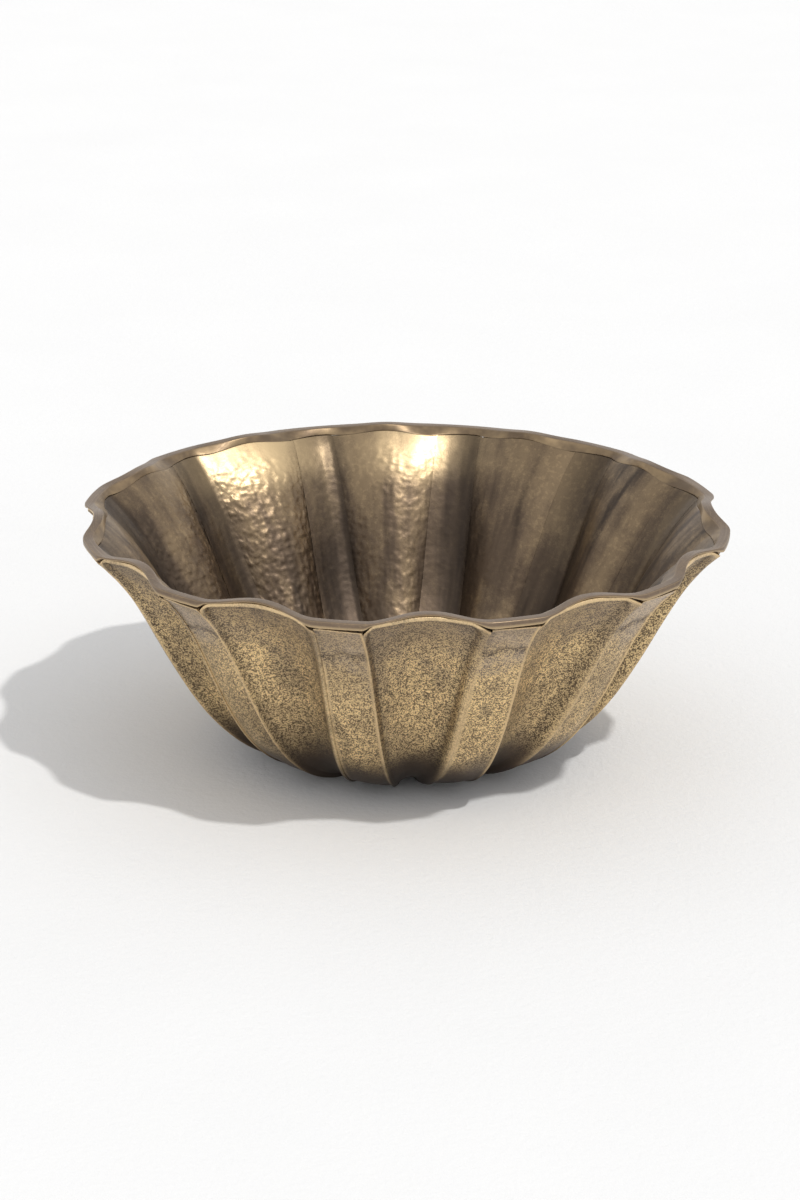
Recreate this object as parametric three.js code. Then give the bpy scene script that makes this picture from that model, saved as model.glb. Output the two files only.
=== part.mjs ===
// Fluted brass urli bowl, in millimetres: +Z is up, and the origin is the centre of the foot on the floor.
// Twelve broad petals, hollow outside and bulging inside, alternate with twelve narrow flat-faced petals.
// They stand round a base disc and carry a flat-topped rim band, with a thin seam between all of them.
// An angle is measured about +Z from the front, which is -Y, and grows towards +X.
// "along" runs up the wall from 0 at the foot to 1 at the rim. "across" runs over a petal from 0 to 1.

import * as THREE from "three";

// Driving dimensions.
const petalCount = 12;
const rimRadius = 100;          // from the axis to the wall's ridges, just under the rim band
const bowlHeight = 75;          // from the floor to the rim's top over a narrow petal
const rimLift = 1.8;            // how much higher the rim stands over the middle of a broad petal
const footRadius = 24;          // the base disc
const wallThickness = 3;
const baseThickness = 3;
const narrowPetalWidth = 14.5;
const narrowShareAtFoot = 0.72; // the most of the turn that the narrow petals take, where they crowd at the foot
const scoopAtFoot = 1.2;        // depth of a broad petal's hollow below its edges
const scoopAtBelly = 6.2;
const scoopAtRim = 4.2;
const bellyAlong = 0.6;         // where the hollow is deepest
const rimBandHeight = 2.2;
const rimBandWidth = 4;
const rimSetback = 0.3;         // from the wall's ridges in to the rim band's outer face
const seam = 0.3;
const flareAngle = 34.5;        // slope of the wall at the rim, in degrees from level
const flareReach = 0.395;       // how far down the flare reaches, as a share of the wall's spread
const footReach = 0.665;        // how far out the floor of the bowl stays low, as a share of the same
const firstNarrowAngle = 19;    // in degrees, from the front to the first narrow petal's middle

// Facets.
const wallRows = 10;
const broadColumns = 6;
const narrowColumns = 2;
const discSegments = 48;

const toRadians = THREE.MathUtils.degToRad;
const pitch = (2 * Math.PI) / petalCount;
const wallHeight = bowlHeight - rimBandHeight - seam;
const wallFootRadius = footRadius + seam;
const wallSpread = rimRadius - wallFootRadius;

// The line that the petals' edges follow up the outside, as radius and height.
const flare = toRadians(flareAngle);
const ridgeLine = new THREE.CubicBezierCurve(
  new THREE.Vector2(wallFootRadius, 0),
  new THREE.Vector2(wallFootRadius + footReach * wallSpread, 0),
  new THREE.Vector2(
    rimRadius - flareReach * wallSpread * Math.cos(flare),
    wallHeight - flareReach * wallSpread * Math.sin(flare),
  ),
  new THREE.Vector2(rimRadius, wallHeight),
);

const broadPetal = { columns: broadColumns, scooped: true, edges: broadPetalEdges };
const narrowPetal = { columns: narrowColumns, scooped: false, edges: narrowPetalEdges };

// Half the angle that a narrow petal takes at this radius. It keeps its width, and eases off where they crowd.
function narrowHalfAngle(radius) {
  const crowded = narrowShareAtFoot * pitch * radius;
  const width = (narrowPetalWidth ** -4 + crowded ** -4) ** -0.25;
  return width / radius / 2;
}

// A petal's first and last angle at this radius, counted from the middle of the narrow petal before it.
function narrowPetalEdges(radius) {
  const reach = narrowHalfAngle(radius) - seam / radius / 2;
  return [-reach, reach];
}

function broadPetalEdges(radius) {
  const start = narrowHalfAngle(radius) + seam / radius / 2;
  return [start, pitch - start];
}

// 0 at a petal's edges and 1 in its middle.
function arch(across) {
  return 1 - (2 * across - 1) ** 2;
}

// The same with no corner where it meets the next petal.
function swell(across) {
  return (1 - Math.cos(2 * Math.PI * across)) / 2;
}

function scoopDepth(across, along) {
  const toBelly = THREE.MathUtils.smoothstep(along, 0, bellyAlong);
  const toRim = THREE.MathUtils.smoothstep(along, bellyAlong, 1);
  const below = scoopAtFoot + (scoopAtBelly - scoopAtFoot) * toBelly;
  return (below + (scoopAtRim - scoopAtBelly) * toRim) * arch(across);
}

// Radius and height of a point of the wall, at a depth below its ridges and square to them.
function wallSection(along, depth) {
  const ridge = ridgeLine.getPoint(along);
  const slope = ridgeLine.getTangent(along);
  return new THREE.Vector2(ridge.x - slope.y * depth, ridge.y + slope.x * depth);
}

function depthAt(petal, across, along) {
  return petal.scooped ? scoopDepth(across, along) : 0;
}

// Height of the wall's top edge, which the rim band sits on.
function topHeight(petal, across) {
  return petal.scooped ? wallHeight + rimLift * swell(across) : wallHeight;
}

// How far along the wall one of its skins reaches its top edge.
function alongAtTop(petal, across, skinDepth) {
  const target = topHeight(petal, across);
  let low = 0.5;
  let high = 1;
  for (let halving = 0; halving < 30; halving++) {
    const middle = (low + high) / 2;
    const height = wallSection(middle, depthAt(petal, across, middle) + skinDepth).y;
    if (height > target) high = middle;
    else low = middle;
  }
  return high;
}

function turned(angle, radius, height) {
  return [radius * Math.sin(angle), -radius * Math.cos(angle), height];
}

// One skin of a petal at one column, from the foot up: the outer skin at depth 0, the inner at a wall's depth.
function skinColumn(petal, startAngle, across, skinDepth) {
  const top = alongAtTop(petal, across, skinDepth);
  const points = [];
  for (let row = 0; row <= wallRows; row++) {
    const along = (top * row) / wallRows;
    const [first, last] = petal.edges(ridgeLine.getPoint(along).x);
    const angle = startAngle + first + (last - first) * across;
    const { x: radius, y: height } = wallSection(along, depthAt(petal, across, along) + skinDepth);
    points.push(turned(angle, radius, height));
  }
  return points;
}

// A solid through closed loops of points. A loop is its outer half going up, then its inner half going down.
function loft(loops, isRing) {
  const size = loops[0].length;
  const half = size / 2;
  const faces = [];
  const quad = (a, b, c, d) => faces.push(a, b, c, a, c, d);
  const spans = isRing ? loops.length : loops.length - 1;
  for (let span = 0; span < spans; span++) {
    const here = span * size;
    const next = ((span + 1) % loops.length) * size;
    for (let point = 0; point < size; point++) {
      const after = (point + 1) % size;
      quad(here + point, next + point, next + after, here + after);
    }
  }
  if (!isRing) {
    const last = (loops.length - 1) * size;
    for (let rung = 0; rung < half - 1; rung++) {
      const back = size - 1 - rung;
      quad(rung, rung + 1, back - 1, back);
      quad(last + back, last + back - 1, last + rung + 1, last + rung);
    }
  }
  const geometry = new THREE.BufferGeometry();
  geometry.setAttribute("position", new THREE.Float32BufferAttribute(loops.flat(2), 3));
  geometry.setIndex(faces);
  geometry.computeVertexNormals();
  return geometry;
}

function petalGeometry(petal, startAngle) {
  const loops = [];
  for (let column = 0; column <= petal.columns; column++) {
    const across = column / petal.columns;
    const outer = skinColumn(petal, startAngle, across, 0);
    const inner = skinColumn(petal, startAngle, across, wallThickness);
    loops.push([...outer, ...inner.reverse()]);
  }
  return loft(loops, false);
}

// The rim band at one place: it sits on the wall's top edge, and its outer face waves with the broad petals.
function rimLoop(petal, startAngle, across) {
  const [first, last] = petal.edges(rimRadius);
  const angle = startAngle + first + (last - first) * across;
  const middleAlong = alongAtTop(broadPetal, 0.5, 0);
  const wave = rimRadius - wallSection(middleAlong, scoopDepth(0.5, middleAlong)).x;
  const outer = rimRadius - rimSetback - (petal.scooped ? wave * swell(across) : 0);
  const innerAlong = alongAtTop(petal, across, wallThickness);
  const innerFoot = wallSection(innerAlong, depthAt(petal, across, innerAlong) + wallThickness).x;
  const bottom = topHeight(petal, across) + seam;
  const top = bottom + rimBandHeight;
  return [
    turned(angle, outer, bottom),
    turned(angle, outer, top),
    turned(angle, outer - rimBandWidth, top),
    turned(angle, innerFoot, bottom),
  ];
}

function rimBandGeometry() {
  const loops = [];
  for (let index = 0; index < petalCount; index++) {
    const startAngle = toRadians(firstNarrowAngle) + index * pitch;
    for (const petal of [narrowPetal, broadPetal])
      for (let column = 0; column <= petal.columns; column++)
        loops.push(rimLoop(petal, startAngle, column / petal.columns));
  }
  return loft(loops, true);
}

function baseDiscGeometry() {
  const outline = [
    new THREE.Vector2(0, 0),
    new THREE.Vector2(footRadius, 0),
    new THREE.Vector2(footRadius, baseThickness),
    new THREE.Vector2(0, baseThickness),
  ];
  const disc = new THREE.LatheGeometry(outline, discSegments);
  return disc.rotateX(Math.PI / 2);
}

// Patinated brass: bright where it is rubbed, darker in the hollows, and a duller brown on the ground rim.
function brass(color, roughness) {
  return new THREE.MeshStandardMaterial({ color, roughness, metalness: 1, flatShading: true });
}

function named(name, geometry, material) {
  const mesh = new THREE.Mesh(geometry, material);
  mesh.name = name;
  return mesh;
}

const bowl = new THREE.Group();
bowl.add(named("base_disc", baseDiscGeometry(), brass(0x4a3a26, 0.55)));
for (let index = 0; index < petalCount; index++) {
  const number = String(index + 1).padStart(2, "0");
  const startAngle = toRadians(firstNarrowAngle) + index * pitch;
  bowl.add(named(`narrow_petal_${number}`, petalGeometry(narrowPetal, startAngle), brass(0x8a6b3c, 0.45)));
  bowl.add(named(`broad_petal_${number}`, petalGeometry(broadPetal, startAngle), brass(0x7a5c32, 0.5)));
}
bowl.add(named("rim_band", rimBandGeometry(), brass(0x5e4a3a, 0.4)));

export default bowl;
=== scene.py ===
"""A fluted brass urli bowl, cast and patinated, standing on a pale floor in plain soft light.

Every length is in metres. Angles round the bowl are counted from the front, which is -Y, towards +X.
"along" runs up the wall from 0 at the foot to 1 at its top edge, "across" runs over one petal from 0 to 1,
and "through" runs from 0 on the outer skin to 1 on the inner skin.
"""
import math
import random

import bpy
from mathutils import Matrix, Vector


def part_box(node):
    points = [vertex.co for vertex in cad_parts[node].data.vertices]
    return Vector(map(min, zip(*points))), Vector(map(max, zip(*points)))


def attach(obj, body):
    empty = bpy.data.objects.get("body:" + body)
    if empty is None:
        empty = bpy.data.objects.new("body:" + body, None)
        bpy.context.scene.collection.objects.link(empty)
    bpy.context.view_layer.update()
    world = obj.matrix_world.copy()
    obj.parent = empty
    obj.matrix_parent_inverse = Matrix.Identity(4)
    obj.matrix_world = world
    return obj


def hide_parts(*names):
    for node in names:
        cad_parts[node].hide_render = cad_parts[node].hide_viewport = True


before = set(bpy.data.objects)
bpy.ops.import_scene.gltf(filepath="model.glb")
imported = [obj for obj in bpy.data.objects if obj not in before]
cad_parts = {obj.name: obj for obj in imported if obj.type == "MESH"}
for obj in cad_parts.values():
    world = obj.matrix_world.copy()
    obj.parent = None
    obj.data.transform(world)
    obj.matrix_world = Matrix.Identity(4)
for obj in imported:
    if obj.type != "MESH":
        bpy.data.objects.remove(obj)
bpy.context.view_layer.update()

# ---------------------------------------------------------------- sizes

MM = 0.001
PETALS = 12
PITCH = 2 * math.pi / PETALS
FIRST_NARROW_ANGLE = math.radians(19)
SEAM = 0.04 * MM                # hairline between two cast pieces
FLARE = math.radians(34.5)      # slope of the wall at the rim
FLARE_REACH = 0.395             # how far down the flare reaches, as a share of the wall's spread
FOOT_REACH = 0.665              # how far out the floor of the bowl stays low, as a share of the same
NARROW_WIDTH = 14.5 * MM
NARROW_SHARE_AT_FOOT = 0.72
WALL = 3 * MM
SCOOP_AT_FOOT = 1.2 * MM
SCOOP_AT_BELLY = 6.2 * MM
SCOOP_AT_RIM = 4.2 * MM
BELLY_ALONG = 0.6
BAND_WIDTH = 3.0 * MM
BAND_SETBACK = 0.3 * MM


def reach(node):
    """The largest distance from the bowl's axis to a CAD node."""
    return max(math.hypot(v.co.x, v.co.y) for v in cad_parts[node].data.vertices)


def top_of(node):
    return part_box(node)[1].z


FOOT_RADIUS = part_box("base_disc")[1].x
BASE_THICKNESS = top_of("base_disc")
RIM_RADIUS = reach("narrow_petal_01")
WALL_HEIGHT = top_of("narrow_petal_01")
RIM_LIFT = top_of("broad_petal_01") - WALL_HEIGHT
BAND_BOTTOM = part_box("rim_band")[0].z
BAND_HEIGHT = top_of("rim_band") - BAND_BOTTOM - RIM_LIFT


# ---------------------------------------------------------------- node trees written as sums

class Field:
    """A value in a node tree that adds and multiplies like a plain number."""

    def __init__(self, tree, socket):
        self.tree = tree
        self.socket = socket

    def __add__(self, other):
        return compute("ADD", self, other)

    def __radd__(self, other):
        return compute("ADD", other, self)

    def __sub__(self, other):
        return compute("SUBTRACT", self, other)

    def __rsub__(self, other):
        return compute("SUBTRACT", other, self)

    def __mul__(self, other):
        return compute("MULTIPLY", self, other)

    def __rmul__(self, other):
        return compute("MULTIPLY", other, self)

    def __truediv__(self, other):
        return compute("DIVIDE", self, other)

    def __rtruediv__(self, other):
        return compute("DIVIDE", other, self)

    def __pow__(self, other):
        return compute("POWER", self, other)

    def __neg__(self):
        return compute("MULTIPLY", self, -1.0)


def feed(socket, value):
    """Links a field to a socket, or sets the socket to a plain value."""
    if isinstance(value, Field):
        value.tree.links.new(value.socket, socket)
    else:
        socket.default_value = value


def compute(operation, *values):
    tree = next(value.tree for value in values if isinstance(value, Field))
    node = tree.nodes.new("ShaderNodeMath")
    node.operation = operation
    for socket, value in zip(node.inputs, values):
        feed(socket, value)
    return Field(tree, node.outputs[0])


def sine(value):
    return compute("SINE", value)


def cosine(value):
    return compute("COSINE", value)


def root(value):
    return compute("SQRT", compute("MAXIMUM", value, 0.0))


def smaller(first, second):
    return compute("MINIMUM", first, second)


def larger(first, second):
    return compute("MAXIMUM", first, second)


def clamped(value):
    return smaller(larger(value, 0.0), 1.0)


def ease(value, start, end):
    """0 before start, 1 after end, and smooth between them."""
    node = value.tree.nodes.new("ShaderNodeMapRange")
    node.interpolation_type = "SMOOTHSTEP"
    feed(node.inputs["Value"], value)
    feed(node.inputs["From Min"], start)
    feed(node.inputs["From Max"], end)
    return Field(value.tree, node.outputs["Result"])


def bell(value, width):
    """1 where value is 0, falling off on both sides."""
    share = value / width
    return compute("EXPONENT", -(share * share))


def mix(first, second, share):
    return first + (second - first) * share


def vector(x, y, z):
    tree = next(value.tree for value in (x, y, z) if isinstance(value, Field))
    node = tree.nodes.new("ShaderNodeCombineXYZ")
    for socket, value in zip(node.inputs, (x, y, z)):
        feed(socket, value)
    return Field(tree, node.outputs[0])


def parts_of(field):
    node = field.tree.nodes.new("ShaderNodeSeparateXYZ")
    feed(node.inputs[0], field)
    return [Field(field.tree, socket) for socket in node.outputs]


def noise(place, size, seed, detail=2.0, roughness=0.5):
    """Noise from about 0 to 1 whose lumps are about this size."""
    node = place.tree.nodes.new("ShaderNodeTexNoise")
    node.noise_dimensions = "4D"
    feed(node.inputs["Vector"], place)
    feed(node.inputs["W"], seed)
    feed(node.inputs["Scale"], 1 / size)
    feed(node.inputs["Detail"], detail)
    feed(node.inputs["Roughness"], roughness)
    return Field(place.tree, node.outputs[0])


# ---------------------------------------------------------------- the rule that shapes the wall

def bowed(start, start_handle, end_handle, end, share):
    """A Bezier curve's value and its rate of change."""
    first = 3 * (start_handle - start)
    second = 3 * (end_handle - start_handle) - first
    third = end - start - first - second
    value = ((third * share + second) * share + first) * share + start
    rate = (3 * third * share + 2 * second) * share + first
    return value, rate


def wall_section(size, along, depth):
    """Radius and height of a point of the wall, at a depth below its ridges, and the way into the wall."""
    spread = size["Rim Radius"] - size["Foot Radius"]
    flare_out = FLARE_REACH * math.cos(FLARE)
    flare_up = FLARE_REACH * math.sin(FLARE)
    radius, outward = bowed(
        size["Foot Radius"],
        size["Foot Radius"] + spread * FOOT_REACH,
        size["Rim Radius"] - spread * flare_out,
        size["Rim Radius"],
        along,
    )
    height, upward = bowed(0.0, 0.0, size["Wall Height"] - spread * flare_up, size["Wall Height"], along)
    length = root(outward * outward + upward * upward)
    into = (-(upward / length), outward / length)
    return radius + into[0] * depth, height + into[1] * depth, radius, into, upward


def narrow_half_angle(size, radius):
    crowded = NARROW_SHARE_AT_FOOT * PITCH * radius
    width = (size["Narrow Width"] ** -4.0 + crowded ** -4.0) ** -0.25
    return width / radius / 2


def arch(across):
    offset = 2 * across - 1
    return 1 - offset * offset


def swell(across):
    return (1 - cosine(across * (2 * math.pi))) / 2


def scoop_depth(size, along):
    """How deep a broad petal is hollowed in its middle."""
    below = mix(size["Scoop At Foot"], size["Scoop At Belly"], ease(along, 0.0, BELLY_ALONG))
    return below + (size["Scoop At Rim"] - size["Scoop At Belly"]) * ease(along, BELLY_ALONG, 1.0)


FIRST_FILLET = 0.36             # share of the bulge that is left at a broad petal's first edge, inside
LAST_FILLET = 0.10              # and at its last edge
VALLEY_START = 0.14             # the lowest strip of a narrow petal inside, as shares of its width
VALLEY_END = 0.34


def broad_bulge(across):
    """Share of the scoop that a broad petal bulges by inside, fuller towards its first edge."""
    fillet = mix(FIRST_FILLET, LAST_FILLET, across)
    return fillet + (1 - fillet) * arch(across + across * (1 - across) * 0.22)


def narrow_bulge(across):
    """The same for a narrow petal, a valley that is gentle on its first side and crisp on its last."""
    first_side = larger(VALLEY_START - across, 0.0) / VALLEY_START
    last_side = larger(across - VALLEY_END, 0.0) / (1 - VALLEY_END)
    return first_side ** 1.7 * LAST_FILLET + last_side ** 1.2 * FIRST_FILLET


def inner_depth(size, along, bulge):
    return size["Wall Thickness"] + scoop_depth(size, along) * bulge


# How far the wall runs for one unit of along, near its top and near its foot.
TOP_PACE = 3 * FLARE_REACH * (RIM_RADIUS - FOOT_RADIUS)
FOOT_PACE = 3 * FOOT_REACH * (RIM_RADIUS - FOOT_RADIUS)


class NodeTree:
    """A geometry tree with named inputs, ending in Realize Instances and Set Material."""

    def __init__(self, name, inputs):
        self.tree = bpy.data.node_groups.new(name, "GeometryNodeTree")
        self.identifiers = {}
        for label, kind in inputs.items():
            socket = self.tree.interface.new_socket(label, in_out="INPUT", socket_type=kind)
            self.identifiers[label] = socket.identifier
        self.tree.interface.new_socket("Geometry", in_out="OUTPUT", socket_type="NodeSocketGeometry")
        group = self.tree.nodes.new("NodeGroupInput")
        self.size = {label: Field(self.tree, group.outputs[label]) for label in inputs}

    def add(self, kind, **settings):
        node = self.tree.nodes.new(kind)
        for name, value in settings.items():
            setattr(node, name, value)
        return node

    def position(self):
        return Field(self.tree, self.add("GeometryNodeInputPosition").outputs[0])

    def placed(self, geometry, place, kept):
        """Moves every point to its place, after keeping the named values that depend on where it was."""
        for name, value in kept.items():
            geometry = self.stored(geometry, name, value)
        node = self.add("GeometryNodeSetPosition")
        feed(node.inputs["Geometry"], geometry)
        feed(node.inputs["Position"], place)
        return Field(self.tree, node.outputs[0])

    def stored(self, geometry, name, value):
        """Keeps a value on every point, where the material can read it."""
        node = self.add("GeometryNodeStoreNamedAttribute", data_type="FLOAT", domain="POINT")
        feed(node.inputs["Geometry"], geometry)
        node.inputs["Name"].default_value = name
        feed(node.inputs["Value"], value)
        return Field(self.tree, node.outputs[0])

    def joined_seams(self, geometry):
        node = self.add("GeometryNodeMergeByDistance")
        feed(node.inputs["Geometry"], geometry)
        node.inputs["Distance"].default_value = 0.002 * MM
        return Field(self.tree, node.outputs[0])

    def finish(self, geometry):
        realized = self.add("GeometryNodeRealizeInstances")
        feed(realized.inputs["Geometry"], geometry)
        painted = self.add("GeometryNodeSetMaterial")
        feed(painted.inputs["Geometry"], Field(self.tree, realized.outputs[0]))
        feed(painted.inputs["Material"], self.size["Material"])
        output = self.add("NodeGroupOutput")
        self.tree.links.new(painted.outputs[0], output.inputs["Geometry"])


FLOAT = "NodeSocketFloat"
WHOLE = "NodeSocketInt"
WALL_INPUTS = {
    "Start Angle": FLOAT,
    "Rim Radius": FLOAT,
    "Wall Height": FLOAT,
    "Foot Radius": FLOAT,
    "Wall Thickness": FLOAT,
    "Narrow Width": FLOAT,
    "Scoop At Foot": FLOAT,
    "Scoop At Belly": FLOAT,
    "Scoop At Rim": FLOAT,
    "Rim Lift": FLOAT,
    "Crease Along": FLOAT,
    "Crease Depth": FLOAT,
    "Lump Height": FLOAT,
    "Seed": FLOAT,
    "Columns": WHOLE,
    "Rows": WHOLE,
    "Material": "NodeSocketMaterial",
}

PEBBLES_AT = math.radians(225)  # where round the bowl the inside is most pebbled
# Where round the bowl the inside is brightened near the rim as a painted highlight of the key light, and
# how narrowly.
HIGHLIGHT_AT = ((math.radians(214), 50.0), (math.radians(176), 130.0))
LIP_WIDTH = 1.4 * MM            # rounded ridge down a broad petal's right-hand side
TOP_LIP_WIDTH = 1.7 * MM        # rounded lip along a broad petal's top
PANEL_DEPTH = 1.2 * MM          # how far the grained panel lies below those lips
PANEL_SLOPE = 2.2 * MM          # how wide the step down to it is
PANEL_CORNER = 5.0 * MM         # rounding of its two upper corners
BEAD_HEIGHT = 0.4 * MM
BEAD_WIDTH = 0.32 * MM
BEAD_INSET = 0.4 * MM
TOP_ROUNDING = 0.7 * MM
EDGE_ROUNDING = 0.8 * MM        # how wide a broad petal's last edge turns under, and how far
EDGE_DROP = 0.35 * MM
BAND_GAP = 0.10 * MM            # dark line between the wall and the rim band
LIP_RISE = 1.55 * MM            # how far a broad petal's lip stands up in front of the rim band
LEFT_CORNER = 3.5 * MM          # rounding of a broad petal's two top corners
RIGHT_CORNER = 6.5 * MM
CORNER_DROP = 1.8 * MM
LIP_PULL = 0.0075               # share of the rim radius by which its lip is kept inside the ridges
NARROW_DROP = 0.35 * MM         # how far a narrow petal's top edge stops below the rim band
NARROW_STEP = 0.55 * MM         # how far a narrow petal lies below the ridge on its left


def corner_dip(from_side, corner):
    """1 at a broad petal's side, falling to 0 round its top corner."""
    near = 1 - clamped(from_side / corner)
    return 1 - root(1 - near * near)


def lip_share(left, right):
    """How much of its rise a broad petal's top lip has at these distances from its two sides."""
    return ease(left, 0.0, LEFT_CORNER) * ease(right, 0.0, RIGHT_CORNER)


def edge_spacing(share, crowding):
    """Puts more of the columns near a petal's two edges."""
    return share - sine(share * (2 * math.pi)) * (crowding / (2 * math.pi))


def wall_tree(name, broad):
    """One petal of the wall, made from a block whose sides become its two skins and its four edges."""
    made = NodeTree(name, WALL_INPUTS)
    size = made.size
    block = made.add("GeometryNodeMeshCube")
    feed(block.inputs["Vertices X"], size["Columns"])
    block.inputs["Vertices Y"].default_value = 7
    feed(block.inputs["Vertices Z"], size["Rows"])
    x, y, z = parts_of(made.position())
    across = edge_spacing(x + 0.5, 0.6)
    through = y + 0.5
    rise = 1 - larger(0.5 - z, 0.0) ** 1.25
    outside = 1 - ease(through, 0.0, 0.5)

    def petal_span(radius):
        half = narrow_half_angle(size, radius)
        gap = SEAM / 2 / radius
        if broad:
            return half + gap, PITCH - half - gap
        return gap - half, half - gap

    def sides(radius):
        first, last = petal_span(radius)
        width = (last - first) * radius
        return width * across, width * (1 - across)

    def panel_inset(left, right, from_top):
        """How far a point lies inside the grained panel, whose two upper corners are round."""
        beside = PANEL_CORNER - smaller(right - LIP_WIDTH, left * 1.6 + 0.6 * MM)
        below = PANEL_CORNER - (from_top - TOP_LIP_WIDTH)
        beside = larger(beside, 0.0)
        below = larger(below, 0.0)
        return PANEL_CORNER - root(beside * beside + below * below)

    wander = sine(across * 5.0 + size["Seed"]) * 0.010 + sine(across * 14.0 + size["Seed"] * 3) * 0.005
    crease_along = size["Crease Along"] + wander

    def skin_depth(along, radius, from_top):
        left, right = sides(radius)
        off_foot = ease(along, 0.0, 0.12)
        if not broad:
            below_crease = 1 - ease(along, crease_along - 0.03, crease_along)
            step = NARROW_STEP * (1 - ease(left, 0.0, 9 * MM)) * off_foot
            off_top = ease(from_top, 0.0, 6 * MM)
            bead = BEAD_HEIGHT * bell(right - BEAD_INSET, BEAD_WIDTH) * off_foot * off_top
            crease = bell(along - crease_along, 0.009) * size["Crease Depth"] * arch(across)
            outer = step - bead + crease + (1 - below_crease) * 0.2 * MM * arch(across)
            return mix(outer, inner_depth(size, along, narrow_bulge(across)), through)
        main = arch(across) * scoop_depth(size, along)
        softened = main * ease(right, -0.5 * MM, LIP_WIDTH + 1.5 * MM)
        panel_strength = mix(0.45, 1.0, ease(along, 0.0, 0.4))
        panel = ease(panel_inset(left, right, from_top), 0.0, PANEL_SLOPE) * panel_strength
        fold = bell(along - crease_along, 0.012) * size["Crease Depth"] * arch(across)
        turned_under = 1 - clamped(right / EDGE_ROUNDING)
        edge = turned_under * turned_under * EDGE_DROP * off_foot
        outer = softened + panel * PANEL_DEPTH + fold + edge
        return mix(outer, inner_depth(size, along, broad_bulge(across)), through)

    def top_edge(radius):
        """How the wall's top edge dips and rises at its outer side."""
        left, right = sides(radius)
        if not broad:
            beside = larger(bell(left, 3.5 * MM), bell(right, 3.5 * MM))
            return -(beside * 0.25 * MM + NARROW_DROP)
        dip = corner_dip(left, LEFT_CORNER) + corner_dip(right, RIGHT_CORNER)
        return LIP_RISE * lip_share(left, right) - dip * CORNER_DROP

    lift = size["Rim Lift"] * swell(across) if broad else 0.0
    outward_share = 1 - through if broad else 1 - ease(through, 0.0, 0.5)
    top_height = size["Wall Height"] + (BAND_BOTTOM - WALL_HEIGHT - SEAM) + lift
    top_height = top_height + (top_edge(size["Rim Radius"]) - BAND_GAP) * outward_share

    top = 1.0 + across * 0.0
    for _ in range(2):
        radius = wall_section(size, top, 0.0)[0]
        _, height, _, _, upward = wall_section(size, top, skin_depth(top, radius, across * 0.0))
        top = top + (top_height - height) / upward
    along = rise * top
    from_top = (top - along) * TOP_PACE
    ridge_radius = wall_section(size, along, 0.0)[0]
    depth = skin_depth(along, ridge_radius, from_top)
    radius, height, _, into, _ = wall_section(size, along, depth)
    into_round = smaller(from_top, TOP_ROUNDING) - TOP_ROUNDING
    rounding = TOP_ROUNDING - root(TOP_ROUNDING ** 2 - into_round * into_round)
    if broad:
        # The lip stands straight up from where the flare would have ended.
        lip_length = LIP_RISE / math.sin(FLARE) * lip_share(*sides(ridge_radius))
        radius = radius - larger(lip_length - from_top, 0.0) * math.cos(FLARE) * (1 - through)
        farthest = 1 - ease(sides(ridge_radius)[0], 0.0, 3 * MM) * LIP_PULL
        radius = smaller(radius, size["Rim Radius"] * farthest)
    radius = radius - rounding * (1 - ease(through, 0.0, 0.3))
    first, last = petal_span(ridge_radius)
    angle = size["Start Angle"] + first + (last - first) * across

    def turned(at_radius, at_height):
        return vector(at_radius * sine(angle), -(at_radius * cosine(angle)), at_height)

    plain = turned(radius, height)
    settled = ease(from_top, 0.3 * MM, 3 * MM) * ease(along * FOOT_PACE, 0.0, 2 * MM)
    slow = noise(plain, 11 * MM, size["Seed"], 1.0) - 0.5
    pebbles = ease(noise(plain, 1.9 * MM, size["Seed"] + 7, 1.0), 0.35, 0.70) - 0.5
    skin_grain = noise(plain, 1.5 * MM, size["Seed"] + 3, 1.0) - 0.5
    facing = (cosine(angle - PEBBLES_AT) + 1) / 2
    pebbled = mix(0.12, 1.0 if broad else 0.3, facing ** 6.0) * ease(from_top, 0.0, 12 * MM)
    outer_lumps = slow * 0.9 + skin_grain * 0.25
    inner_lumps = slow * 2.0 + pebbles * 1.35 * pebbled + skin_grain * 0.4
    bulge = mix(outer_lumps, -inner_lumps, through) * size["Lump Height"] * settled
    place = turned(radius - into[0] * bulge, larger(height - into[1] * bulge, 0.0))

    # Painted highlight: inside, near the rim, where the key light's reflection falls on the back wall.
    spots = [((cosine(angle - at) + 1) / 2) ** narrowness for at, narrowness in HIGHLIGHT_AT]
    painted_highlight = larger(*spots) * (1 - ease(from_top, 7 * MM, 17 * MM))
    left, right = sides(ridge_radius)
    if broad:
        # Inside, the valleys between the bulges are darkened as painted shade.
        valley = (1 - broad_bulge(across)) ** 4.0
        inset = panel_inset(left, right, from_top)
        # Painted shade just inside the step down to the grained panel, and along the crease.
        step_shade = bell(inset - 1.7 * MM, 1.5 * MM)
        wear_and_highlight = (1 - ease(inset, -1.0 * MM, 0.8 * MM)) * mix(1.0, 0.3, ease(along, 0.50, 0.82))
        wear_and_highlight = larger(wear_and_highlight * ease(along, 0.18, 0.36), bell(from_top - 1.0 * MM, 1.0 * MM) * 1.3)
        recess_shade = larger(bell(along - crease_along + 0.025, 0.03) * 0.3, step_shade * 0.7)
    else:
        valley = 1 - narrow_bulge(across) * 2
        below_crease = 1 - ease(along, crease_along - 0.06, crease_along)
        wear_and_highlight = bell(right - 0.45 * MM, 0.42 * MM) * 1.5
        wear_and_highlight = larger(wear_and_highlight, bell(left - 0.45 * MM, 0.5 * MM) * below_crease)
        wear_and_highlight = larger(wear_and_highlight * ease(along, 0.16, 0.34), bell(from_top - 0.4 * MM, 0.5 * MM))
        # Painted shade along the crease and in the step beside a narrow petal's left ridge.
        recess_shade = bell(along - crease_along, 0.018) * mix(1.1, 0.7, arch(across))
        recess_shade = larger(recess_shade, bell(left - 0.6 * MM, 1.2 * MM) * (1 - below_crease) * 0.6)
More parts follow.
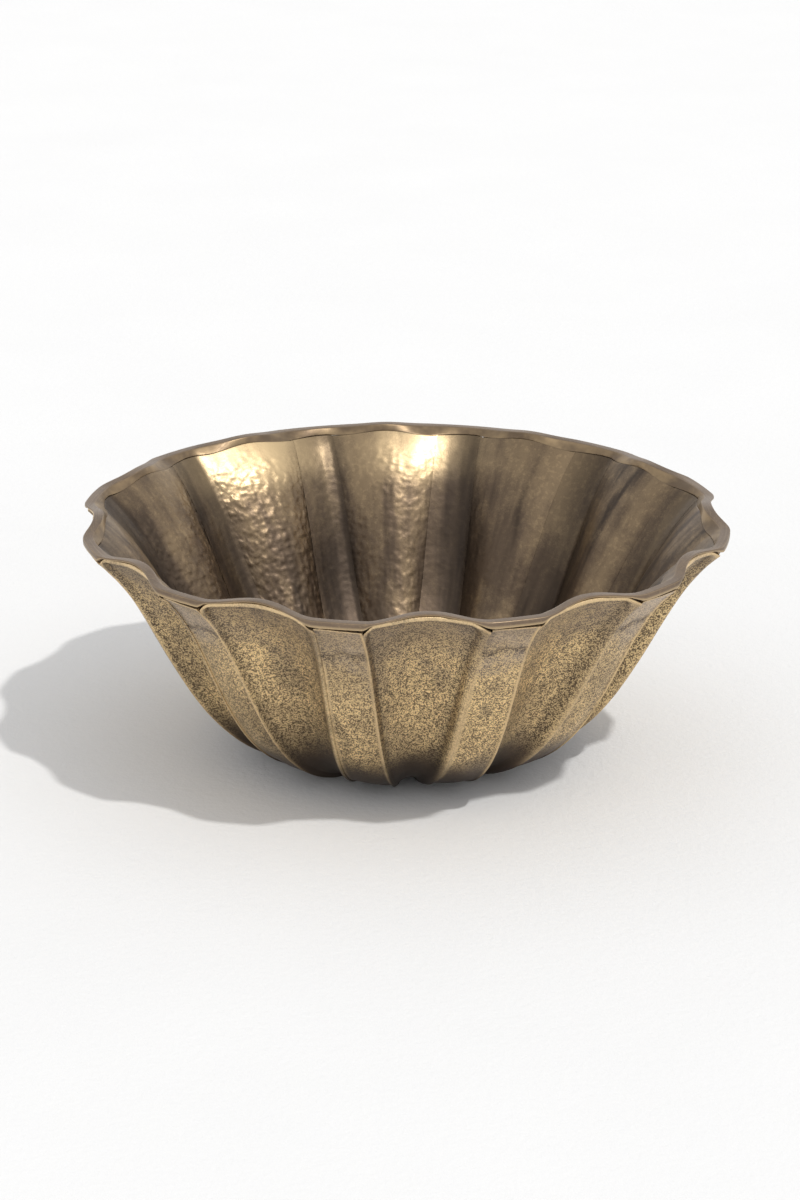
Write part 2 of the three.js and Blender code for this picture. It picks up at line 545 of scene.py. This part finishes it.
    # Outside this carries the worn edges; inside it carries the painted highlight.
    kept = {
        "wear_and_highlight": mix(painted_highlight, wear_and_highlight, outside),
        "along": along / top,
        "inner": ease(through, 0.3, 0.7),
        "recess_shade": mix(clamped(valley), recess_shade, outside),
    }
    made.finish(made.placed(Field(made.tree, block.outputs[0]), place, kept))
    return made


def band_tree():
    """The rim band: a rounded strip with a flat top, carried round the mouth and waved with the petals."""
    inputs = {
        "Rim Radius": FLOAT,
        "Wall Height": FLOAT,
        "Foot Radius": FLOAT,
        "Wall Thickness": FLOAT,
        "Narrow Width": FLOAT,
        "Scoop At Foot": FLOAT,
        "Scoop At Belly": FLOAT,
        "Scoop At Rim": FLOAT,
        "Rim Lift": FLOAT,
        "Band Width": FLOAT,
        "Band Height": FLOAT,
        "Band Bottom": FLOAT,
        "Corner Rounding": FLOAT,
        "Seed": FLOAT,
        "Turns": WHOLE,
        "Section Points": WHOLE,
        "Material": "NodeSocketMaterial",
    }
    made = NodeTree("Rim band", inputs)
    size = made.size
    strip = made.add("GeometryNodeMeshGrid")
    feed(strip.inputs["Vertices X"], size["Turns"])
    feed(strip.inputs["Vertices Y"], size["Section Points"])
    x, y, _ = parts_of(made.position())
    turn = (x + 0.5) * (2 * math.pi)
    half = narrow_half_angle(size, size["Rim Radius"])
    beyond = compute("FLOORED_MODULO", turn - half, PITCH)
    broad_share = PITCH - 2 * half
    across = clamped(beyond / broad_share)
    narrow_across = clamped((beyond - broad_share) / (2 * half))
    angle = turn + FIRST_NARROW_ANGLE
    lift = size["Rim Lift"] * swell(across)

    def radius_at(wall_top, depth_at):
        top = 1.0 + x * 0.0
        for _ in range(2):
            _, height, _, _, upward = wall_section(size, top, depth_at(top))
            top = top + (wall_top + lift - height) / upward
        return wall_section(size, top, depth_at(top))[0]

    on_narrow = compute("GREATER_THAN", beyond, broad_share)
    bulge = mix(broad_bulge(across), narrow_bulge(narrow_across), on_narrow)
    inner_edge = radius_at(size["Band Bottom"] - SEAM, lambda top: inner_depth(size, top, bulge))
    wave = size["Rim Radius"] - radius_at(size["Wall Height"], lambda top: scoop_depth(size, top))
    outer_edge = size["Rim Radius"] - BAND_SETBACK - wave * swell(across)
    # The section is a box with rounded corners, as a squared-off circle.
    round_angle = (y + 0.5) * (2 * math.pi) + math.pi / 4
    side = cosine(round_angle)
    level = sine(round_angle)

    def squared(value):
        return compute("SIGN", value) * compute("ABSOLUTE", value) ** size["Corner Rounding"]

    outward = squared(side)
    upward = squared(level)
    inner_top = outer_edge - size["Band Width"]
    inner_here = mix(inner_edge, inner_top, clamped(upward * 0.5 + 0.5))
    radius = mix(inner_here, outer_edge, outward * 0.5 + 0.5)
    broad_width = broad_share * size["Rim Radius"]
    share = lip_share(across * broad_width, (1 - across) * broad_width)
    raised = LIP_RISE * share * (outward * 0.5 + 0.5)
    height = size["Band Bottom"] + lift + mix(raised, size["Band Height"], upward * 0.5 + 0.5)
    plain = vector(radius * sine(angle), -(radius * cosine(angle)), height)
    wander = (noise(plain, 16 * MM, size["Seed"], 1.0) - 0.5) * 0.35 * MM
    radius = radius + wander * ease(upward, -0.6, 0.2) * ease(outward, -0.8, -0.2)
    place = vector(radius * sine(angle), -(radius * cosine(angle)), height)
    on_top = ease(upward, 0.9, 0.995)
    edge = bell(upward - 0.95, 0.10) * ease(outward, 0.85, 0.97) * 0.6
    edge = larger(edge, bell(upward + 0.80, 0.35) * ease(outward, 0.8, 0.97))
    inner_lip = bell(upward - 0.95, 0.10) * ease(-outward, 0.85, 0.97) * 0.4
    kept = {
        "wear_and_highlight": larger(edge, inner_lip),
        "top_face": on_top,
        "inner": ease(-outward, 0.9, 0.99) * (1 - on_top),
        "turn": turn,
    }
    geometry = made.placed(Field(made.tree, strip.outputs[0]), place, kept)
    made.finish(made.joined_seams(geometry))
    return made


def disc_tree():
    """The base disc: two flat cast faces and a softened edge, swept round the axis."""
    inputs = {
        "Radius": FLOAT,
        "Thickness": FLOAT,
        "Edge Rounding": FLOAT,
        "Lump Height": FLOAT,
        "Seed": FLOAT,
        "Turns": WHOLE,
        "Section Points": WHOLE,
        "Material": "NodeSocketMaterial",
    }
    made = NodeTree("Base disc", inputs)
    size = made.size
    strip = made.add("GeometryNodeMeshGrid")
    feed(strip.inputs["Vertices X"], size["Turns"])
    feed(strip.inputs["Vertices Y"], size["Section Points"])
    x, y, _ = parts_of(made.position())
    angle = (x + 0.5) * (2 * math.pi)
    share = y + 0.5
    # The outline goes out along the underside, up the edge and back over the top.
    run = share * (2 * size["Radius"] + size["Thickness"])
    up = clamped((run - size["Radius"]) / size["Thickness"])
    out = smaller(run, size["Radius"]) - larger(run - size["Radius"] - size["Thickness"], 0.0)
    nearness = size["Edge Rounding"] - (size["Radius"] - out)
    corner = larger(nearness, 0.0) / size["Edge Rounding"]
    tuck = corner * corner * size["Edge Rounding"] * 0.5
    height = mix(tuck, size["Thickness"] - tuck, up)
    radius = larger(out, 0.0)
    plain = vector(radius * sine(angle), -(radius * cosine(angle)), height)
    lumps = noise(plain, 4 * MM, size["Seed"], 1.0) - 0.5
    rings = cosine(radius / (1.1 * MM) * 2 * math.pi) * 0.015 * MM
    inside = ease(up, 0.9, 1.0) * (1 - ease(radius, size["Radius"] - 2 * MM, size["Radius"]))
    height = height - (lumps + 0.5) * size["Lump Height"] * inside
    height = height + (rings + 0.015 * MM) * (1 - ease(up, 0.0, 0.1)) * (1 - corner)
    place = vector(radius * sine(angle), -(radius * cosine(angle)), height)
    kept = {
        "inner": ease(up, 0.9, 1.0),
        "wear_and_highlight": corner * (1 - up) * 0.8,
    }
    geometry = made.placed(Field(made.tree, strip.outputs[0]), place, kept)
    made.finish(made.joined_seams(geometry))
    return made


def cast_piece(name, made, values, body="root"):
    """Runs a tree with these inputs and keeps the result as a plain mesh at the origin."""
    holder = bpy.data.objects.new(name + "_pattern", bpy.data.meshes.new(name + "_pattern"))
    bpy.context.scene.collection.objects.link(holder)
    modifier = holder.modifiers.new("pattern", "NODES")
    modifier.node_group = made.tree
    for label, value in values.items():
        modifier[made.identifiers[label]] = value
    bpy.context.view_layer.update()
    evaluated = holder.evaluated_get(bpy.context.evaluated_depsgraph_get())
    mesh = bpy.data.meshes.new_from_object(evaluated)
    holder.modifiers.remove(modifier)
    bpy.data.objects.remove(holder)
    mesh.name = name
    mesh.shade_smooth()
    mesh.set_sharp_from_angle(angle=math.radians(50))
    piece = bpy.data.objects.new(name, mesh)
    bpy.context.scene.collection.objects.link(piece)
    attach(piece, body)
    return piece


# ---------------------------------------------------------------- finishes

BRIGHT_BRASS = (0.90, 0.675, 0.355)
WORN_BRASS_AND_HIGHLIGHT = (0.70, 0.525, 0.30)
OLD_BRASS = (0.40, 0.29, 0.165)
BROWN_PATINA = (0.120, 0.086, 0.060)
GREY_PATINA = (0.235, 0.185, 0.145)
PALE_PATINA = (0.44, 0.36, 0.295)
MAUVE_PATINA = (0.205, 0.150, 0.106)
# Colour of the painted shade in creases, recesses and towards the foot.
PAINTED_SHADE_BROWN = (0.070, 0.052, 0.040)
# Dark patina in the grain pits and streaks, and also the painted shade in the valleys inside.
DARK_PATINA_AND_SHADE = (0.030, 0.023, 0.019)
PATTERN_SEED = 3.0


class Finish:
    """A procedural material on a Principled shader, with the same sums as the geometry trees."""

    def __init__(self, name, metallic):
        self.material = bpy.data.materials.new(name)
        self.material.use_nodes = True
        self.tree = self.material.node_tree
        self.shader = self.tree.nodes["Principled BSDF"]
        self.shader.inputs["Metallic"].default_value = metallic

    def place(self):
        return Field(self.tree, self.tree.nodes.new("ShaderNodeTexCoord").outputs["Object"])

    def kept(self, name):
        node = self.tree.nodes.new("ShaderNodeAttribute")
        node.attribute_name = name
        return Field(self.tree, node.outputs["Fac"])

    def blended(self, first, second, share):
        """A colour between two others, each a field or red, green and blue."""
        node = self.tree.nodes.new("ShaderNodeMix")
        node.data_type = "RGBA"
        for socket, value in ((node.inputs[6], first), (node.inputs[7], second)):
            feed(socket, value if isinstance(value, Field) else (*value, 1.0))
        feed(node.inputs[0], share)
        return Field(self.tree, node.outputs[2])

    def bumped(self, height, distance, strength, under=None):
        node = self.tree.nodes.new("ShaderNodeBump")
        node.inputs["Strength"].default_value = strength
        node.inputs["Distance"].default_value = distance
        feed(node.inputs["Height"], height)
        if under is not None:
            feed(node.inputs["Normal"], under)
        return Field(self.tree, node.outputs[0])

    def apply(self, colour, roughness, normal):
        feed(self.shader.inputs["Base Color"], colour)
        feed(self.shader.inputs["Roughness"], roughness)
        feed(self.shader.inputs["Normal"], normal)
        return self.material


def down_the_wall(place):
    """Places drawn together up and down, so that noise turns into streaks that run down the wall."""
    x, y, z = parts_of(place)
    reach_out = larger(root(x * x + y * y), 1 * MM)
    shrink = 0.07 / reach_out
    return vector(x * shrink, y * shrink, z * 0.16)


def cast_brass(name, gold_share, rim_patina):
    """Sand-cast brass: grained and worn outside, pebbled and brown inside, with painted shade in creases,
    recesses and towards the foot, and a painted highlight inside near the rim.
    """
    finish = Finish(name, 0.95)
    place = finish.place()
    along = finish.kept("along")
    inner = finish.kept("inner")
    wear_and_highlight = finish.kept("wear_and_highlight")
    recess_shade = finish.kept("recess_shade")
    grain = noise(place, 0.38 * MM, PATTERN_SEED, 1.5, 0.6)
    fleck = noise(place, 0.9 * MM, PATTERN_SEED + 2, 1.0)
    cloud = noise(place, 12 * MM, PATTERN_SEED + 4, 3.0, 0.6)
    drift = noise(place, 30 * MM, PATTERN_SEED + 6, 1.0)
    streak = noise(down_the_wall(place), 9 * MM, PATTERN_SEED + 8, 3.0, 0.6)
    veil = ease(cloud * 0.5 + drift * 0.5, 0.44, 0.60)

    # Outside: gold on the high grain in the middle of the wall, brown low down, paler near the rim. The
    # gold band in the middle is partly real grain and partly painted reflection of the lit floor.
    grained = ease(along, 0.24, 0.40) * mix(1.0, 0.8, ease(along, 0.72, 0.95))
    golden = ease(along, 0.27, 0.45) * (1 - ease(along, 0.60, 0.92) * 0.75)
    golden = clamped(golden * mix(0.35, 1.7, ease(cloud * 0.6 + streak * 0.4, 0.41, 0.57)) * gold_share)
    level = grain + (fleck - 0.5) * 0.30
    high = ease(level, 0.455, 0.57)
    low = 1 - ease(level, 0.39, 0.48)
    ground = finish.blended(BROWN_PATINA, rim_patina, ease(along, 0.50, 0.92))
    ground = finish.blended(ground, OLD_BRASS, clamped(golden * 0.75))
    ground = finish.blended(ground, BROWN_PATINA, veil * grained * 0.35)
    ground = finish.blended(ground, DARK_PATINA_AND_SHADE, low * grained * 0.5)
    brightness = clamped(high * grained * mix(0.35, 1.0, golden) * mix(1.0, 0.6, veil))
    outside = finish.blended(ground, BRIGHT_BRASS, brightness)
    # Painted shade in the creases and recesses outside.
    outside = finish.blended(outside, PAINTED_SHADE_BROWN, clamped(recess_shade * mix(0.85, 0.4, high)))
    shine = clamped(wear_and_highlight * mix(0.45, 1.0, ease(cloud, 0.3, 0.55)) * mix(0.75, 1.0, high))
    outside = finish.blended(outside, WORN_BRASS_AND_HIGHLIGHT, shine)
    # Painted shade: the wall darkens towards the foot, standing in for the floor's shadow reflected there.
    foot_share = 1 - ease(along + (cloud - 0.5) * 0.12, 0.16, 0.42)
    foot_shade = foot_share * mix(0.95, 0.55, ease(cloud, 0.4, 0.65))
    outside = finish.blended(outside, PAINTED_SHADE_BROWN, foot_shade)

    # Inside: smooth dark brown, streaked up and down, with old brass in clouds and towards the rim.
    inner_cloud = streak * 0.62 + cloud * 0.30 + (grain - 0.5) * 0.12 + ease(along, 0.5, 0.95) * 0.07
    inner_cloud = ease(inner_cloud, 0.44, 0.62)
    inside = finish.blended(DARK_PATINA_AND_SHADE, BROWN_PATINA, ease(streak, 0.30, 0.52) * 0.85 + 0.15)
    inside = finish.blended(inside, OLD_BRASS, inner_cloud * 0.40)
    specks = ease(noise(place, 1.3 * MM, PATTERN_SEED + 16, 2.0), 0.50, 0.66)
    inside = finish.blended(inside, OLD_BRASS, specks * mix(0.05, 0.30, inner_cloud))
    # Painted highlight of the key light inside near the rim, in worn brass; the same colour is the worn
    # edges outside.
    inside = finish.blended(inside, WORN_BRASS_AND_HIGHLIGHT, clamped(wear_and_highlight * mix(0.45, 0.9, inner_cloud)))
    # Painted shade in the valleys inside.
    inside = finish.blended(inside, DARK_PATINA_AND_SHADE, clamped(recess_shade * 0.6))
    colour = finish.blended(outside, inside, inner)
    outside_roughness = mix(0.50, 0.40, high * grained)
    inside_roughness = mix(0.46, 0.38, inner_cloud)
    roughness = mix(outside_roughness, inside_roughness, inner)
    depth = mix(larger(grained, 0.3) * (1 - clamped(wear_and_highlight) * 0.6), 0.22, inner)
    normal = finish.bumped(level * depth, 0.14 * MM, 0.8)
    return finish.apply(colour, roughness, normal)


def ground_brass():
    """The rim band: ground flat, brown, with fine grinding lines and a bright worn edge."""
    finish = Finish("ground_rim_brass", 0.95)
    place = finish.place()
    wear_and_highlight = finish.kept("wear_and_highlight")
    top = finish.kept("top_face")
    grain = noise(place, 0.8 * MM, PATTERN_SEED + 10, 3.0, 0.6)
    cloud = noise(place, 9 * MM, PATTERN_SEED + 12, 3.0, 0.6)
    x, y, z = parts_of(place)
    reach_out = root(x * x + y * y)
    ground_along = vector(reach_out * 6, finish.kept("turn") * 0.004, z)
    lines = noise(ground_along, 0.9 * MM, PATTERN_SEED + 14, 2.0)
    colour = finish.blended(MAUVE_PATINA, BROWN_PATINA, ease(cloud, 0.35, 0.75) * 0.6)
    bright_lines = ease(lines, 0.5, 0.75) * 0.3 * top
    colour = finish.blended(colour, OLD_BRASS, bright_lines + ease(grain, 0.5, 0.7) * 0.25)
    colour = finish.blended(colour, WORN_BRASS_AND_HIGHLIGHT, clamped(wear_and_highlight * mix(0.4, 1.0, cloud)))
    inside = finish.blended(BROWN_PATINA, OLD_BRASS, ease(cloud, 0.35, 0.7) * 0.55 + 0.1)
    colour = finish.blended(colour, inside, finish.kept("inner"))
    roughness = mix(0.46, 0.38, ease(lines, 0.4, 0.7))
    normal = finish.bumped(lines * top, 0.03 * MM, 0.5)
    normal = finish.bumped(grain, 0.06 * MM, 0.4, normal)
    return finish.apply(colour, roughness, normal)


def base_brass():
    """The base disc: plain cast brass, brown above and worn bright below where it stands."""
    finish = Finish("plain_base_brass", 0.95)
    place = finish.place()
    inner = finish.kept("inner")
    grain = noise(place, 0.9 * MM, PATTERN_SEED + 20, 3.0, 0.6)
    cloud = noise(place, 8 * MM, PATTERN_SEED + 22, 3.0, 0.6)
    under = finish.blended(BROWN_PATINA, OLD_BRASS, ease(cloud, 0.3, 0.7))
    above = finish.blended(BROWN_PATINA, OLD_BRASS, ease(cloud + (grain - 0.5) * 0.15, 0.40, 0.70) * 0.5)
    colour = finish.blended(under, above, inner)
    flecks = ease(grain, 0.55, 0.7) * 0.3 * (1 - inner)
    colour = finish.blended(colour, BRIGHT_BRASS, clamped(finish.kept("wear_and_highlight") + flecks))
    normal = finish.bumped(grain, 0.1 * MM, 0.6)
    return finish.apply(colour, mix(0.5, 0.4, cloud), normal)


# ---------------------------------------------------------------- the bowl

LUMP_HEIGHT = 0.22 * MM
LUMP_SEED = 11.0
HAND = random.Random(12)

WALL_SIZES = {
    "Rim Radius": RIM_RADIUS,
    "Wall Height": WALL_HEIGHT,
    "Foot Radius": FOOT_RADIUS + SEAM,
    "Wall Thickness": WALL,
    "Narrow Width": NARROW_WIDTH,
    "Scoop At Foot": SCOOP_AT_FOOT,
    "Scoop At Belly": SCOOP_AT_BELLY,
    "Scoop At Rim": SCOOP_AT_RIM,
    "Rim Lift": RIM_LIFT,
}


def make_petals():
    broad_tree = wall_tree("Broad petal", True)
    narrow_tree = wall_tree("Narrow petal", False)
    broad_finish = cast_brass("cast_broad_brass", 1.0, GREY_PATINA)
    narrow_finish = cast_brass("cast_narrow_brass", 1.2, PALE_PATINA)
    for index in range(PETALS):
        number = f"{index + 1:02d}"
        shared = {
            **WALL_SIZES,
            "Start Angle": FIRST_NARROW_ANGLE + index * PITCH,
            "Lump Height": LUMP_HEIGHT,
            "Seed": LUMP_SEED,
            "Rows": 220,
        }
        narrow = cast_piece(
            "cast_narrow_petal_" + number,
            narrow_tree,
            {
                **shared,
                "Crease Along": HAND.uniform(0.81, 0.87),
                "Crease Depth": HAND.uniform(0.3, 0.5) * MM,
                "Columns": 34,
                "Material": narrow_finish,
            },
        )
        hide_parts("narrow_petal_" + number)
        broad = cast_piece(
            "cast_broad_petal_" + number,
            broad_tree,
            {
                **shared,
                "Scoop At Belly": SCOOP_AT_BELLY * HAND.uniform(0.94, 1.04),
                "Crease Along": HAND.uniform(0.58, 0.70),
                "Crease Depth": HAND.uniform(-0.10, 0.16) * MM,
                "Columns": 76,
                "Material": broad_finish,
            },
        )
        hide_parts("broad_petal_" + number)


def make_rim_band():
    band = cast_piece(
        "ground_rim_band",
        band_tree(),
        {
            **WALL_SIZES,
            "Band Width": BAND_WIDTH,
            "Band Height": BAND_HEIGHT,
            "Band Bottom": BAND_BOTTOM,
            "Corner Rounding": 0.28,
            "Seed": LUMP_SEED,
            "Turns": 1201,
            "Section Points": 33,
            "Material": ground_brass(),
        },
    )
    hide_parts("rim_band")


def make_base_disc():
    disc = cast_piece(
        "cast_base_disc",
        disc_tree(),
        {
            "Radius": FOOT_RADIUS,
            "Thickness": BASE_THICKNESS,
            "Edge Rounding": 0.6 * MM,
            "Lump Height": 0.3 * MM,
            "Seed": LUMP_SEED,
            "Turns": 193,
            "Section Points": 121,
            "Material": base_brass(),
        },
    )
    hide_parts("base_disc")


# ---------------------------------------------------------------- floor, light and camera

def make_floor():
    """A large pale floor with a very faint tooth."""
    half = 4.0
    mesh = bpy.data.meshes.new("pale_floor")
    corners = [(-half, -half, 0), (half, -half, 0), (half, half, 0), (-half, half, 0)]
    mesh.from_pydata(corners, [], [(0, 1, 2, 3)])
    floor = bpy.data.objects.new("pale_floor", mesh)
    bpy.context.scene.collection.objects.link(floor)
    finish = Finish("pale_plaster", 0.0)
    place = finish.place()
    tooth = noise(place, 2.2 * MM, 1.0, 4.0, 0.6)
    colour = finish.blended((0.70, 0.70, 0.70), (0.73, 0.73, 0.73), noise(place, 60 * MM, 2.0, 3.0))
    finish.shader.inputs["Specular IOR Level"].default_value = 0.2
    mesh.materials.append(finish.apply(colour, 0.85, finish.bumped(tooth, 0.50 * MM, 0.5)))


def direction(azimuth, elevation):
    """Unit vector towards a point seen at this angle from the front and this height, in degrees."""
    turn = math.radians(azimuth)
    rise = math.radians(elevation)
    return Vector((math.sin(turn) * math.cos(rise), -math.cos(turn) * math.cos(rise), math.sin(rise)))


SUN_STRENGTH = 1.70
SUN_AZIMUTH = 44.7
SUN_HEIGHT = 58.5
WALL_LIGHT = 1.25               # the pale room, level with the bowl and overhead
CEILING_LIGHT = 0.85


def make_light():
    key = bpy.data.objects.new("key_light", bpy.data.lights.new("key_light", "SUN"))
    key.data.energy = SUN_STRENGTH
    key.data.angle = math.radians(2.0)
    key.data.color = (1.0, 0.985, 0.96)
    key.rotation_mode = "QUATERNION"
    key.rotation_quaternion = direction(SUN_AZIMUTH, SUN_HEIGHT).to_track_quat("Z", "Y")
    bpy.context.scene.collection.objects.link(key)

    # A pale room: brighter walls all round, and a softer ceiling.
    world = bpy.data.worlds.new("pale_room")
    bpy.context.scene.world = world
    world.use_nodes = True
    tree = world.node_tree
    background = tree.nodes["Background"]
    sky = Field(tree, tree.nodes.new("ShaderNodeTexCoord").outputs["Generated"])
    up = parts_of(sky)[2]
    brightness = mix(WALL_LIGHT, CEILING_LIGHT, ease(up, 0.05, 0.8))
    feed(background.inputs["Strength"], brightness)
    background.inputs["Color"].default_value = (0.985, 0.99, 1.0, 1.0)


def make_camera():
    """A long lens a little above the bowl, turned slightly about its own axis."""
    elevation = 19.42
    distance = 1.111
    aim = Vector((-0.0012, 0.0, 0.0475))
    camera = bpy.data.objects.new("camera", bpy.data.cameras.new("camera"))
    camera.data.lens = 107.7
    camera.data.sensor_width = 36.0
    back = direction(0.0, elevation)
    facing = back.to_track_quat("Z", "Y").to_matrix()
    tilt = Matrix.Rotation(math.radians(0.45), 3, "Z")
    camera.matrix_world = Matrix.Translation(aim + back * distance) @ (facing @ tilt).to_4x4()
    camera.data.clip_start = 0.05
    camera.data.clip_end = 20.0
    bpy.context.scene.collection.objects.link(camera)
    bpy.context.scene.camera = camera


make_camera()
make_petals()
make_rim_band()
make_base_disc()
make_floor()
make_light()
bpy.context.scene.view_settings.view_transform = "Standard"
